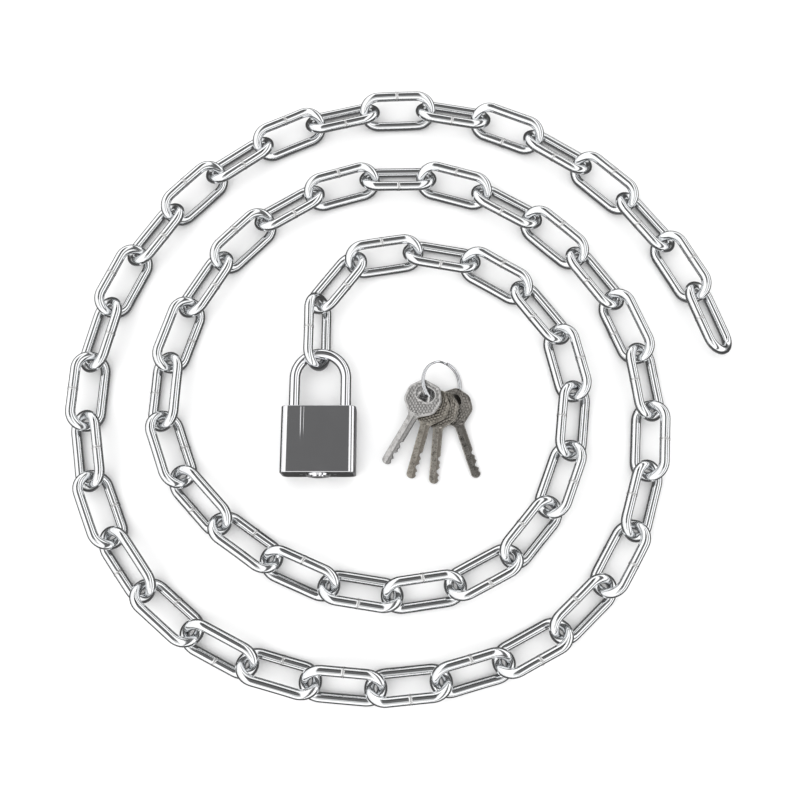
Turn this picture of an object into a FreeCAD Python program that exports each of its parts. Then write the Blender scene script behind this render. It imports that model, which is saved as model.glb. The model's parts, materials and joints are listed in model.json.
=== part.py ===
import FreeCAD, Part
import math
import os
import Sketcher
from FreeCAD import Placement, Rotation, Vector

# Chain lock: a keyed padlock lying on its back, sixty steel links laid out in a
# loose spiral from its shackle, and four keys on a split ring.
# Frame: origin at the middle of the padlock's back face, which lies on the floor.
# +X is to the padlock's right, +Y runs from its keyway to its shackle, +Z is up.

doc = FreeCAD.newDocument("chain_lock")

# ---------------------------------------------------------------- driving sizes

SIZES = {
    # chain link: inner length is also the pull length of one link
    "link_inner": 34.5,
    "link_width": 22.0,
    "link_wire": 5.3,
    "link_play": 1.3,
    "weld_bulge": 0.2,
    "weld_long": 1.4,
    "tilt_even": 40.0,
    "tilt_odd": 36.0,
    "tilt_first": 60.0,
    # padlock body
    "body_wide": 40.0,
    "body_tall": 36.0,
    "body_thick": 18.0,
    "body_corner": 4.0,
    "case_wall": 1.2,
    "seat_gap": 0.05,
    # shackle
    "shackle_wire": 5.8,
    "shackle_span": 28.0,
    "shackle_rise": 34.0,
    "toe_depth": 8.4,
    "heel_depth": 26.0,
    "shackle_lift": 8.6,
    "crown_play": 1.6,
    "leg_gap": 0.08,
    # latch
    "latch_thick": 2.4,
    "latch_top": 2.0,
    "latch_grip": 1.3,
    "latch_left": 5.0,
    "latch_below": 2.2,
    "latch_above": 4.4,
    "latch_gap": 0.15,
    "way_wall": 0.6,
    # plug, cam and pins
    "plug_radius": 5.0,
    "plug_gap": 0.06,
    "plug_end": 10.0,
    "nose_radius": 4.0,
    "nose_proud": 1.4,
    "collar_radius": 6.8,
    "collar_proud": 1.0,
    "keyway_wide": 2.1,
    "keyway_deep": 5.8,
    "keyway_off": 0.3,
    "tail_square": 3.4,
    "cam_radius": 4.2,
    "cam_thick": 2.0,
    "cam_arm": 2.4,
    "cam_pin": 0.9,
    "pin_radius": 1.1,
    "pin_gap": 0.06,
    "pin_point": 0.8,
    "pin_tip": 0.3,
    "pin_first": 4.6,
    "pin_step": 3.8,
    "driver_long": 2.4,
    "cap_long": 1.8,
    "chamber_wall": 3.0,
    "rivet_radius": 1.0,
    "rivet_long": 3.4,
    "rivet_offset": 9.0,
    "keeper_radius": 0.8,
    "keeper_rise": 4.0,
    "keeper_gap": 0.2,
    # fits: pressed pins and squares, the cam's pin in its slot, parts end to end
    "press_gap": 0.02,
    "slot_gap": 0.2,
    "end_gap": 0.1,
    # springs, and the room at each of their ends
    "spring_wire": 0.35,
    "spring_room": 0.4,
    # keys
    "key_thick": 1.7,
    "bow_long": 20.0,
    "bow_wide": 21.0,
    "bow_round": 3.0,
    "hole_wide": 10.6,
    "hole_long": 7.4,
    "hole_rim": 3.2,
    "blade_wide": 5.2,
    "blade_long": 30.4,
    "groove_deep": 0.45,
    "groove_wide": 1.3,
    # split ring
    "ring_radius": 12.0,
    "ring_wire": 1.2,
    "ring_tilt": 30.0,
}

LINKS = 60
PINS = 4

# The lie of the chain: the spiral's middle, and its radius at each bearing, from
# the free end inwards.  It is drawn for links of LAID_PITCH and grows with them.
SPIRAL_X = 28.0
SPIRAL_Y = 24.0
LAID_PITCH = 33.2
FIRST_BEARING = -15.0
BEARING_STEP = 30.0
SPIRAL_RADII = (
    204, 194, 187, 181, 170, 160, 156, 156, 155, 151, 152, 158, 154, 149, 141,
    136, 127, 118, 114, 113, 103, 102, 108, 113, 111, 111, 102, 89, 77,
)

# Each key, from the top of the pile down: the bearing of its crossing round the
# ring, how far its hole's middle lies left of the wire, its turn from straight
# down, how far it dips towards its tip, and its roll.
KEYS = (
    ("key_1", 224.0, 1.7, -31.0, 8.0, 13.0),
    ("key_2", 249.0, 1.9, -16.0, 7.0, 9.0),
    ("key_3", 275.0, 2.0, -5.0, 5.5, 8.0),
    ("key_4", 302.0, 0.0, 18.0, 3.5, 7.0),
)
# the bow's corners, as parts of its length and of half its width
BOW_OUTLINE = ((0, 0.52), (0.34, 1), (0.72, 0.94), (1, 0.307))
RING_X = 66.5
RING_Y = 33.0
# half of the gap between the ends of one turn of the ring, in degrees round it
RING_GAP = 15
# depth of each cut in the blade's edge, from the tip towards the bow
BITTING = (0.7, 1.5, 0.5, 1.2)
CUT_FIRST = 3.4
CUT_STEP = 3.4
CUT_FLAT = 1.0
# how far a cutting tool runs past the face that it cuts
PAST = 1.0
COS_45 = math.sqrt(0.5)

sheet = doc.addObject("Spreadsheet::Sheet", "size")
for row, (alias, value) in enumerate(SIZES.items(), start=1):
    sheet.set(f"A{row}", alias)
    sheet.set(f"B{row}", str(value))
    sheet.setAlias(f"B{row}", alias)
doc.recompute()


def size(alias):
    """The sheet's value, for what is placed by this script's own sums."""
    return float(sheet.get(alias))


# ------------------------------------------------------------- building helpers

ALONG_X = Rotation(Vector(0, 1, 0), 90)
ALONG_Y = Rotation(Vector(1, 0, 0), -90)
ALONG_Z = Rotation()


def in_sheet(expression):
    """Write aliases out as references to the sheet."""
    words = []
    for word in expression.replace("(", " ( ").replace(")", " ) ").split():
        words.append(f"size.{word}" if word in SIZES else word)
    return "(" + " ".join(words) + ") * 1 mm"


def bind(item, prop, expression):
    item.setExpression(prop, in_sheet(str(expression)))


def place(item, at, rotation=ALONG_Z):
    item.Placement = Placement(Vector(), rotation)
    for axis, expression in zip("xyz", at):
        bind(item, f".Placement.Base.{axis}", expression)


def rod(name, radius, length, at, rotation=ALONG_Z):
    item = doc.addObject("Part::Cylinder", name)
    bind(item, "Radius", radius)
    bind(item, "Height", length)
    place(item, at, rotation)
    return item


def cone(name, radius_1, radius_2, length, at, rotation=ALONG_Z):
    item = doc.addObject("Part::Cone", name)
    bind(item, "Radius1", radius_1)
    bind(item, "Radius2", radius_2)
    bind(item, "Height", length)
    place(item, at, rotation)
    return item


def block(name, wide, tall, thick, at):
    """A box from the corner given by at."""
    item = doc.addObject("Part::Box", name)
    bind(item, "Length", wide)
    bind(item, "Width", tall)
    bind(item, "Height", thick)
    place(item, at)
    return item


def torus(name, ring, wire, at, rotation=ALONG_Z, sweep=360):
    item = doc.addObject("Part::Torus", name)
    bind(item, "Radius1", ring)
    bind(item, "Radius2", wire)
    item.Angle3 = sweep
    place(item, at, rotation)
    return item


def fused(name, *items):
    item = doc.addObject("Part::MultiFuse", name)
    item.Shapes = list(items)
    item.Refine = True
    return item


def cut(name, base, *tools):
    item = doc.addObject("Part::Cut", name)
    item.Base = base
    item.Tool = tools[0] if len(tools) == 1 else fused(name + "_tools", *tools)
    item.Refine = True
    return item


def group(name, *items):
    item = doc.addObject("Part::Compound", name)
    item.Links = list(items)
    return item


def origin_plane(body, role):
    return next(f for f in body.Origin.OriginFeatures if f.Role == role)


def rounded_bar(name, wide, thick, corner, tall, top):
    """A bar along Y with round long edges, ending at the height top."""
    body = doc.addObject("PartDesign::Body", name)
    sketch = body.newObject("Sketcher::SketchObject", name + "_section")
    sketch.AttachmentSupport = [(origin_plane(body, "XZ_Plane"), "")]
    sketch.MapMode = "FlatFace"
    corners = [Vector(-9, -4, 0), Vector(9, -4, 0), Vector(9, 4, 0), Vector(-9, 4, 0)]
    for start, end in zip(corners, corners[1:] + corners[:1]):
        sketch.addGeometry(Part.LineSegment(start, end), False)
    for edge in range(4):
        sketch.addConstraint(Sketcher.Constraint("Coincident", edge, 2, (edge + 1) % 4, 1))
    for edge, kind in enumerate(("Horizontal", "Vertical", "Horizontal", "Vertical")):
        sketch.addConstraint(Sketcher.Constraint(kind, edge))
    sketch.addConstraint(Sketcher.Constraint("Symmetric", 0, 1, 2, 1, -1, 1))
    across = sketch.addConstraint(Sketcher.Constraint("DistanceX", 0, 1, 0, 2, 18))
    deep = sketch.addConstraint(Sketcher.Constraint("DistanceY", 1, 1, 1, 2, 8))
    bind(sketch, f"Constraints[{across}]", wide)
    bind(sketch, f"Constraints[{deep}]", thick)
    pad = body.newObject("PartDesign::Pad", name + "_pad")
    pad.Profile = sketch
    bind(pad, "Length", tall)
    doc.recompute()
    fillet = body.newObject("PartDesign::Fillet", name + "_round")
    long_edges = [
        f"Edge{number}" for number, edge in enumerate(pad.Shape.Edges, start=1)
        if abs(edge.tangentAt(edge.FirstParameter).y) > 0.99
    ]
    fillet.Base = (pad, long_edges)
    bind(fillet, "Radius", corner)
    body.Tip = fillet
    place(body, (0, top, "body_thick / 2"))
    return body


def coil(name, radius, length, turns, at, rotation):
    """A helical spring of round wire standing along its own Z."""
    pitch = length / turns
    path = Part.makeLongHelix(pitch, length, radius)
    along = Vector(0, math.tau * radius, pitch)
    start = Part.Wire([Part.Edge(Part.Circle(Vector(radius, 0, 0), along, size("spring_wire")))])
    spring = doc.addObject("Part::Feature", name)
    spring.Shape = Part.Wire(path).makePipeShell([start], True, True)
    spring.Placement = Placement(at, rotation)
    return spring


# ------------------------------------------------------------------ padlock body

BODY_TOP = "body_tall / 2"
BODY_FOOT = "0 - body_tall / 2"
MIDDLE = "body_thick / 2"
LEG = "shackle_span / 2"
TOE_FACE = "shackle_span / 2 - shackle_wire / 2"
HEEL_X = "0 - shackle_span / 2"
CORE_TOP = "body_tall / 2 - case_wall"
CORE_FOOT = "case_wall - body_tall / 2"
BORE = "shackle_wire / 2 + leg_gap"
# the latch's lower face, and the floor of the toe's bore
LATCH_FOOT = "body_tall / 2 - latch_top - latch_thick"
TOE_FOOT = "body_tall / 2 - toe_depth"
# the latch's way ends short of the heel's bore
WAY_LEFT = "shackle_wire / 2 + way_wall - shackle_span / 2"
KEEPER_X = "shackle_wire / 2 - shackle_span / 2 - keeper_radius / 4"
CHAMBER_LONG = "body_wide / 2 - case_wall - chamber_wall"
RIVET_X = {"left": "0 - rivet_offset", "right": "rivet_offset"}
# the cam's peg starts 45 degrees up and ends 45 degrees down the other side
PEG = f"cam_arm * {COS_45}"
TRAVEL = 2 * COS_45 * size("cam_arm")
PIN_Y = [
    -size("body_tall") / 2 + size("pin_first") + number * size("pin_step")
    for number in range(PINS)
]


def lock_case():
    """Drawn steel case: four walls and a top with the two shackle holes."""
    skin = rounded_bar("case_skin", "body_wide", "body_thick", "body_corner",
                       "body_tall", BODY_TOP)
    room = rounded_bar("case_room", "body_wide - 2 * case_wall",
                       "body_thick - 2 * case_wall", "body_corner - case_wall",
                       "body_tall", CORE_TOP)
    holes = [
        rod(f"case_hole_{side}", "shackle_wire / 2 + 2 * leg_gap", "case_wall * 3",
            (x, "body_tall / 2 - case_wall * 2", MIDDLE), ALONG_Y)
        for side, x in (("toe", LEG), ("heel", HEEL_X))
    ]
    return cut("lock_case", skin, room, *holes)


def core_block():
    """Die-cast block that fills the case and holds the works."""
    solid = rounded_bar("core_solid", "body_wide - 2 * case_wall - 2 * seat_gap",
                        "body_thick - 2 * case_wall - 2 * seat_gap",
                        "body_corner - case_wall - seat_gap",
                        "body_tall - 2 * case_wall - 2 * seat_gap",
                        "body_tall / 2 - case_wall - seat_gap")
    tools = [
        rod("bore_heel", BORE, "body_tall - 2 * case_wall",
            (HEEL_X, "2 * case_wall - body_tall / 2", MIDDLE), ALONG_Y),
        rod("bore_toe", BORE, f"toe_depth + {PAST}",
            (LEG, f"{TOE_FOOT} - spring_room", MIDDLE), ALONG_Y),
        rod("bore_plug", "plug_radius + plug_gap", f"{LATCH_FOOT} + body_tall / 2",
            (0, BODY_FOOT, MIDDLE), ALONG_Y),
        block("latch_way", f"shackle_span / 2 + spring_room - ({WAY_LEFT})", "latch_thick + 2 * latch_gap",
              "latch_below + latch_above + 2 * latch_gap",
              (WAY_LEFT, f"{LATCH_FOOT} - latch_gap",
               f"{MIDDLE} - latch_below - latch_gap")),
        rod("bore_keeper", "keeper_radius + press_gap", "body_thick",
            (KEEPER_X, "keeper_rise", 0)),
    ]
    for number, y in enumerate(PIN_Y, start=1):
        tools.append(rod(f"chamber_{number}", "pin_radius + pin_gap", CHAMBER_LONG,
                         (0, y, MIDDLE), ALONG_X))
    for side, x in RIVET_X.items():
        tools.append(rod(f"bore_rivet_{side}", "rivet_radius + press_gap", "rivet_long",
                         (x, BODY_FOOT, MIDDLE), ALONG_Y))
    return cut("core_block", solid, *tools)


def bottom_plate():
    """Plate that closes the case and keeps the plug in."""
    plate = rounded_bar("plate_solid", "body_wide - 2 * case_wall - 2 * seat_gap",
                        "body_thick - 2 * case_wall - 2 * seat_gap",
                        "body_corner - case_wall - seat_gap", "case_wall", CORE_FOOT)
    tools = [rod("plate_hole", "nose_radius + plug_gap", "case_wall * 3",
                 (0, f"{BODY_FOOT} - case_wall", MIDDLE), ALONG_Y)]
    for side, x in RIVET_X.items():
        tools.append(rod(f"plate_rivet_{side}", "rivet_radius + press_gap", "case_wall * 3",
                         (x, f"{BODY_FOOT} - case_wall", MIDDLE), ALONG_Y))
    return cut("bottom_plate", plate, *tools)


def keyway_collar():
    """Round boss that stands proud of the bottom plate round the plug."""
    ring = cone("collar_ring", "collar_radius - collar_proud / 2", "collar_radius", "collar_proud",
                (0, f"{BODY_FOOT} - collar_proud", MIDDLE), ALONG_Y)
    hole = rod("collar_hole", "nose_radius + plug_gap", "collar_proud * 3",
               (0, f"{BODY_FOOT} - collar_proud * 2", MIDDLE), ALONG_Y)
    return cut("keyway_collar", ring, hole)


def plate_rivets():
    rivets = [
        rod(f"rivet_{side}", "rivet_radius", "rivet_long - end_gap",
            (x, BODY_FOOT, MIDDLE), ALONG_Y)
        for side, x in RIVET_X.items()
    ]
    return group("plate_rivets", *rivets)


def shackle():
    """Bent steel bar: long heel leg, short toe leg with the latch's notch."""
    reach = "body_tall / 2 + shackle_rise - shackle_wire / 2 - shackle_span / 2"
    crown = torus("shackle_crown", LEG, "shackle_wire / 2", (0, reach, MIDDLE), sweep=180)
    toe = rod("shackle_toe", "shackle_wire / 2", f"{reach} - ( {TOE_FOOT} )",
              (LEG, TOE_FOOT, MIDDLE), ALONG_Y)
    heel = rod("shackle_heel", "shackle_wire / 2", f"{reach} + heel_depth - body_tall / 2",
               (HEEL_X, "body_tall / 2 - heel_depth", MIDDLE), ALONG_Y)
    bent = fused("shackle_bar", crown, toe, heel)
    low_side = f"{MIDDLE} - shackle_wire / 2 - {PAST}"
    notch = block("latch_notch", f"{PAST} + latch_grip + latch_gap",
                  "latch_thick + 2 * latch_gap", f"shackle_wire + 2 * {PAST}",
                  (f"{TOE_FACE} - {PAST}", f"{LATCH_FOOT} - latch_gap", low_side))
    ramp = doc.addObject("Part::Wedge", "latch_ramp")
    slope = TRAVEL / size("shackle_lift")
    depth = size("latch_grip") + size("latch_gap")
    run = depth / slope
    ramp.Xmin, ramp.Xmax, ramp.X2min, ramp.X2max = -PAST, 0, -PAST, depth
    ramp.Ymin, ramp.Ymax = -run, 0
    ramp.Zmin, ramp.Zmax = -size("shackle_wire"), size("shackle_wire")
    ramp.Z2min, ramp.Z2max = ramp.Zmin, ramp.Zmax
    place(ramp, (TOE_FACE, f"{LATCH_FOOT} - latch_gap / 2", MIDDLE))
    groove = block("keeper_groove", "shackle_wire / 2",
                   "shackle_lift + 2 * keeper_radius + 2 * keeper_gap",
                   f"shackle_wire + 2 * {PAST}",
                   (f"{KEEPER_X} - keeper_radius - keeper_gap",
                    "keeper_rise - keeper_radius - keeper_gap - shackle_lift", low_side))
    return cut("shackle", bent, notch, ramp, groove)


def shackle_keeper():
    """Cross pin that stops the heel leg from coming out."""
    inset = "case_wall + seat_gap"
    return rod("shackle_keeper_pin", "keeper_radius", f"body_thick - 2 * ( {inset} )",
               (KEEPER_X, "keeper_rise", inset))


def latch():
    """Sliding bolt whose nose sits in the toe's notch; the cam's pin draws it back."""
    plate = block("latch_plate", "latch_left + cam_radius * 2", "latch_thick",
                  "latch_below + latch_above",
                  ("0 - latch_left", LATCH_FOOT, f"{MIDDLE} - latch_below"))
    nose = block("latch_nose", f"latch_left + {TOE_FACE} + latch_grip", "latch_thick",
                 "2 * latch_below - 2 * slot_gap",
                 ("0 - latch_left", LATCH_FOOT, f"{MIDDLE} - latch_below + slot_gap"))
    slot = block("latch_slot", "2 * cam_pin + 2 * slot_gap", "latch_thick * 2",
                 f"cam_arm - {PEG} + 2 * cam_pin + 2 * slot_gap",
                 (f"{PEG} - cam_pin - slot_gap", f"{LATCH_FOOT} - latch_thick / 2",
                  f"{MIDDLE} + {PEG} - cam_pin - slot_gap"))
    return cut("latch_bolt", fused("latch_bar", plate, nose), slot)


# ------------------------------------------------------------- plug and its pins


def plug():
    """Brass plug with its keyway, pin holes and square tail."""
    barrel = rod("plug_barrel", "plug_radius",
                 "plug_end + body_tall / 2 - case_wall - end_gap",
                 (0, f"{CORE_FOOT} + end_gap", MIDDLE), ALONG_Y)
    nose = rod("plug_nose", "nose_radius", "nose_proud + 2 * case_wall",
               (0, f"{BODY_FOOT} - nose_proud", MIDDLE), ALONG_Y)
    tail = block("plug_tail", "tail_square", "cam_thick * 3 / 2", "tail_square",
                 ("0 - tail_square / 2", "plug_end - cam_thick / 2",
                  f"{MIDDLE} - tail_square / 2"))
    keyway = block("keyway", "keyway_deep", "plug_end + body_tall / 2 + nose_proud - 1",
                   "keyway_wide",
                   ("0 - keyway_deep / 2 - keyway_off", f"{BODY_FOOT} - nose_proud - {PAST}",
                    f"{MIDDLE} - keyway_wide / 2"))
    holes = [
        rod(f"plug_hole_{number}", "pin_radius + pin_gap", f"plug_radius + {PAST}",
            (0, y, MIDDLE), ALONG_X)
        for number, y in enumerate(PIN_Y, start=1)
    ]
    return cut("plug", fused("plug_solid", barrel, nose, tail), keyway, *holes)


def cam():
    """Disc on the plug's tail with the off-centre pin that moves the latch."""
    disc = rod("cam_disc", "cam_radius", "cam_thick", (0, "plug_end + end_gap", MIDDLE), ALONG_Y)
    pin = rod("cam_peg", "cam_pin",
              f"{LATCH_FOOT} + latch_thick - plug_end - cam_thick - 3 * end_gap",
              (PEG, "plug_end + cam_thick + end_gap / 2", f"{MIDDLE} + {PEG}"), ALONG_Y)
    square = block("cam_square", "tail_square + 2 * press_gap", "cam_thick * 3",
                   "tail_square + 2 * press_gap",
                   ("0 - tail_square / 2 - press_gap", "plug_end - cam_thick",
                    f"{MIDDLE} - tail_square / 2 - press_gap"))
    return fused("locking_cam", cut("cam_plate", disc, square), pin)


def key_pins():
    """Pins of stepped length that end at the plug's shear line."""
    top = math.sqrt(size("plug_radius") ** 2 - size("pin_radius") ** 2) - size("press_gap")
    pins = []
    for number, (y, depth) in enumerate(zip(PIN_Y, BITTING), start=1):
        foot = size("blade_wide") / 2 - depth
        body_foot = foot + size("pin_point")
        pins.append(fused(
            f"key_pin_{number}",
            rod(f"key_pin_body_{number}", "pin_radius", top - body_foot,
                (body_foot, y, MIDDLE), ALONG_X),
            cone(f"key_pin_point_{number}", "pin_tip", "pin_radius", "pin_point",
                 (foot, y, MIDDLE), ALONG_X),
        ))
    return group("key_pins", *pins)


def driver_pins():
    pins = [
        rod(f"driver_{number}", "pin_radius", "driver_long",
            ("plug_radius + end_gap", y, MIDDLE), ALONG_X)
        for number, y in enumerate(PIN_Y, start=1)
    ]
    return group("driver_pins", *pins)


def pin_caps():
    """Plugs pressed into the outer ends of the pin chambers."""
    caps = [
        rod(f"cap_{number}", "pin_radius + pin_gap - press_gap / 2", "cap_long",
            (f"{CHAMBER_LONG} - cap_long", y, MIDDLE), ALONG_X)
        for number, y in enumerate(PIN_Y, start=1)
    ]
    return group("pin_chamber_caps", *caps)


def pin_springs():
    room = size("spring_room")
    start = size("plug_radius") + size("end_gap") + size("driver_long") + room
    end = size("body_wide") / 2 - size("case_wall") - size("chamber_wall")
    end -= size("cap_long") + room
    middle = size("body_thick") / 2
    radius = size("pin_radius") - size("spring_wire")
    springs = [
        coil(f"pin_spring_{number}", radius, end - start, 4, Vector(start, y, middle), ALONG_X)
        for number, y in enumerate(PIN_Y, start=1)
    ]
    return group("pin_springs", *springs)


def shackle_spring():
    start = -size("body_tall") / 2 + 2 * size("case_wall") + size("spring_room")
    end = size("body_tall") / 2 - size("heel_depth") - size("spring_room")
    return coil("shackle_spring", size("shackle_wire") / 2 - 2 * size("spring_wire"), end - start, 4,
                Vector(-size("shackle_span") / 2, start, size("body_thick") / 2), ALONG_Y)


def latch_spring():
    way = size("shackle_wire") / 2 + size("way_wall") - size("shackle_span") / 2
    start = way + size("spring_room")
    end = -size("latch_left") - size("spring_room")
    y = size("body_tall") / 2 - size("latch_top") - size("latch_thick") / 2
    return coil("latch_spring", size("latch_thick") / 2 - size("spring_wire"), end - start, 4,
                Vector(start, y, size("body_thick") / 2), ALONG_X)


# ------------------------------------------------------------------------- chain


def standing_height(tilt):
    """Height of a tilted link's middle when its lower bar touches the floor."""
    arm = (size("link_width") - size("link_wire")) / 2
    return arm * math.sin(math.radians(tilt)) + size("link_wire") / 2


def link_master():
    """One link lying along X, its width along Y, welded in the middle of one bar."""
    end_radius = "( link_width - link_wire ) / 2"
    half = "( link_inner + link_wire ) / 2 - ( link_width - link_wire ) / 2"
    right = torus("link_end_a", end_radius, "link_wire / 2", (half, 0, 0),
                  Rotation(Vector(0, 0, 1), -90), 180)
    left = torus("link_end_b", end_radius, "link_wire / 2", (f"0 - ( {half} )", 0, 0),
                 Rotation(Vector(0, 0, 1), 90), 180)
    bars = [
        rod(f"link_bar_{side}", "link_wire / 2", f"2 * ( {half} )",
            (f"0 - ( {half} )", y, 0), ALONG_X)
        for side, y in (("out", end_radius), ("in", f"0 - {end_radius}"))
    ]
    weld = rod("link_weld", "link_wire / 2 + weld_bulge", "weld_long",
               ("0 - weld_long / 2", end_radius, 0), ALONG_X)
    return fused("link_master", right, left, *bars, weld)


def spiral_route():
    """Smooth curve from the link on the shackle outwards to past the free end."""
    pitch = size("link_inner") - size("link_play")
    growth = pitch / LAID_PITCH
    points = [first_junction()]
    bearings = [FIRST_BEARING + BEARING_STEP * step for step in range(len(SPIRAL_RADII))]
    for bearing, radius in reversed(list(zip(bearings, SPIRAL_RADII))):
        angle = math.radians(bearing)
        points.append(Vector(SPIRAL_X + radius * growth * math.cos(angle),
                             SPIRAL_Y + radius * growth * math.sin(angle), 0))
    route = Part.BSplineCurve()
    route.interpolate(points)
    return route


def crown_y():
    """Height of the shackle's wire at its crown."""
    return size("body_tall") / 2 + size("shackle_rise") - size("shackle_wire") / 2


def first_link_centre():
    gap = size("shackle_wire") / 2 + size("link_wire") / 2 + size("crown_play")
    end_wire = crown_y() - gap
    return Vector(-2, end_wire + (size("link_inner") + size("link_wire")) / 2, 0)


def first_junction():
    """Where the second link from the padlock is threaded through the first."""
    half = (size("link_inner") - size("link_play")) / 2
    return first_link_centre() + Vector(0, half, 0)


def walk(route, start, reach):
    """The parameter along the route that is one reach further on."""
    here = route.value(start)
    low = start
    high = start
    step = (route.LastParameter - route.FirstParameter) / 400
    while (route.value(high) - here).Length < reach:
        high += step
    for _ in range(40):
        middle = (low + high) / 2
        if (route.value(middle) - here).Length < reach:
            low = middle
        else:
            high = middle
    return (low + high) / 2


def junctions():
    """Points where the links meet, from the padlock to the free end."""
    route = spiral_route()
    pitch = size("link_inner") - size("link_play")
    parameter = route.FirstParameter
    points = [route.value(parameter)]
    for _ in range(LINKS - 1):
        parameter = walk(route, parameter, pitch)
        points.append(route.value(parameter))
    return points


def link_tilt(number):
    """Even links tip their outer bar up, odd links their inner bar."""
    if number == LINKS:
        return size("tilt_first")
    return size("tilt_even") if number % 2 == 0 else -size("tilt_odd")


def link_placement(centre, along, number):
    up = Vector(0, 0, 1)
    outward = up.cross(along)
    if outward.dot(centre - Vector(SPIRAL_X, SPIRAL_Y, 0)) < 0:
        outward = -outward
    tilt = math.radians(link_tilt(number))
    width = outward * math.cos(tilt) + up * math.sin(tilt)
    rotation = Rotation(along, width, along.cross(width), "ZXY")
    steepest = size("tilt_first") if number == LINKS else size("tilt_even")
    return Placement(Vector(centre.x, centre.y, standing_height(steepest)), rotation)


def link_placements():
    """Placement of each link by its number, which counts from the free end."""
    points = junctions()
    places = {LINKS: link_placement(first_link_centre(), Vector(0, 1, 0), LINKS)}
    for step in range(LINKS - 1):
        number = LINKS - 1 - step
        along = points[step + 1] - points[step]
        along.normalize()
        places[number] = link_placement((points[step] + points[step + 1]) / 2, along, number)
    return places


def link_groups():
    """The first and last links alone, and the others in twos."""
    groups = [(LINKS,)]
    for number in range(LINKS - 1, 2, -2):
        groups.append((number, number - 1))
    groups.append((1,))
    return groups


def group_name(numbers):
    return "link_" + "_".join(f"{number:02d}" for number in sorted(numbers))


def chain(master):
    """Placed copies of the one link, which a primitive can't make."""
    places = link_placements()
    nodes = []
    for numbers in link_groups():
        copies = []
        for number in numbers:
            copy = master.Shape.copy()
            copy.Placement = places[number].multiply(master.Placement)
            copies.append(copy)
        node = doc.addObject("Part::Feature", group_name(numbers))
        node.Shape = copies[0] if len(copies) == 1 else Part.makeCompound(copies)
        nodes.append(node)
    return nodes


# ---------------------------------------------------------------- keys and ring


def ring_placement():
    """The ring stands on its low side; its other side rests up on the keys."""
    tilt = math.radians(size("ring_tilt"))
    height = size("ring_radius") * math.sin(tilt) + size("ring_wire") * (1 + math.cos(tilt)) / 2
    return Placement(Vector(RING_X, RING_Y, height + size("seat_gap")),
                     Rotation(Vector(0, 1, 0), size("ring_tilt")))


def key_ring():
    """Split ring: two turns of wire side by side with a step between them."""
    step = size("ring_wire") / 2 + size("press_gap")
    turns = [
        torus(f"ring_turn_{side}", "ring_radius", "ring_wire / 2",
              (0, 0, z), Rotation(Vector(0, 0, 1), 90 + RING_GAP), 360 - 2 * RING_GAP)
        for side, z in (("low", -step), ("high", step))
    ]
    reach = size("ring_radius")
    lead = math.radians(90 + RING_GAP)
    start = Vector(reach * math.cos(lead), reach * math.sin(lead), step)
    end = Vector(-start.x, start.y, -step)
    bridge = doc.addObject("Part::Cylinder", "ring_step")
    bind(bridge, "Radius", "ring_wire / 2")
    bridge.Height = (end - start).Length
    bridge.Placement = Placement(start, Rotation(Vector(0, 0, 1), end - start))
    balls = []
    for side, at in (("a", start), ("b", end)):
        ball = doc.addObject("Part::Sphere", f"ring_ball_{side}")
        bind(ball, "Radius", "ring_wire / 2")
        ball.Placement = Placement(at, Rotation())
        balls.append(ball)
    ring = fused("key_ring", *turns, bridge, *balls)
    ring.Placement = ring_placement()
    return ring


BOW_END = "bow_long - hole_long / 2 - hole_rim"


def key_master():
    """A flat key with its hole at the origin and its blade along X."""
    long_way = size("bow_long")
    start = -size("hole_long") / 2 - size("hole_rim")
    outline = [
        Vector(start + long_way * along, -size("bow_wide") / 2 * across, 0)
        for along, across in BOW_OUTLINE
    ]
    outline += [Vector(point.x, -point.y, 0) for point in reversed(outline)]
    face = Part.Face(Part.makePolygon(outline + outline[:1]))
    solid = face.extrude(Vector(0, 0, size("key_thick")))
    upright = [edge for edge in solid.Edges
               if abs(edge.tangentAt(edge.FirstParameter).z) > 0.99]
    bow = doc.addObject("Part::Feature", "key_bow")
    bow.Shape = solid.makeFillet(size("bow_round"), upright[:6])
    bow.Placement = Placement(Vector(0, 0, -size("key_thick") / 2), Rotation())
    blade = block("key_blade", "blade_long", "blade_wide", "key_thick",
                  (f"{BOW_END} - blade_wide / 2", "0 - blade_wide / 2", "0 - key_thick / 2"))
    tip = rod("key_tip", "blade_wide / 2", "key_thick",
              (f"{BOW_END} + blade_long - blade_wide / 2", 0, "0 - key_thick / 2"))
    hole = block("key_hole", "hole_long", "hole_wide - hole_long", "key_thick * 3",
                 ("0 - hole_long / 2", "hole_long / 2 - hole_wide / 2", "0 - key_thick * 1.5"))
    ends = [
        rod(f"key_hole_end_{side}", "hole_long / 2", "key_thick * 3", (0, y, "0 - key_thick * 1.5"))
        for side, y in (("left", "hole_long / 2 - hole_wide / 2"),
                        ("right", "hole_wide / 2 - hole_long / 2"))
    ]
    groove = block("key_groove", f"blade_long + {PAST}", "groove_wide", "key_thick",
                   (BOW_END, "groove_wide / 2", "key_thick / 2 - groove_deep"))
    tools = [hole, *ends, groove]
    end = start + long_way + size("blade_long")
    for number, depth in enumerate(BITTING):
        x = end - CUT_FIRST - CUT_STEP * number
        notch = doc.addObject("Part::Wedge", f"key_cut_{number + 1}")
        half = size("key_thick")
        flat = CUT_FLAT / 2
        notch.Xmin, notch.Xmax, notch.X2min, notch.X2max = -flat, flat, -flat - depth, flat + depth
        notch.Ymin, notch.Ymax = -depth, 0
        notch.Zmin, notch.Zmax, notch.Z2min, notch.Z2max = -half, half, -half, half
        place(notch, (x, "blade_wide / 2", 0))
        tools.append(notch)
    return cut("key_master", fused("key_solid", bow, blade, tip), *tools)


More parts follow.
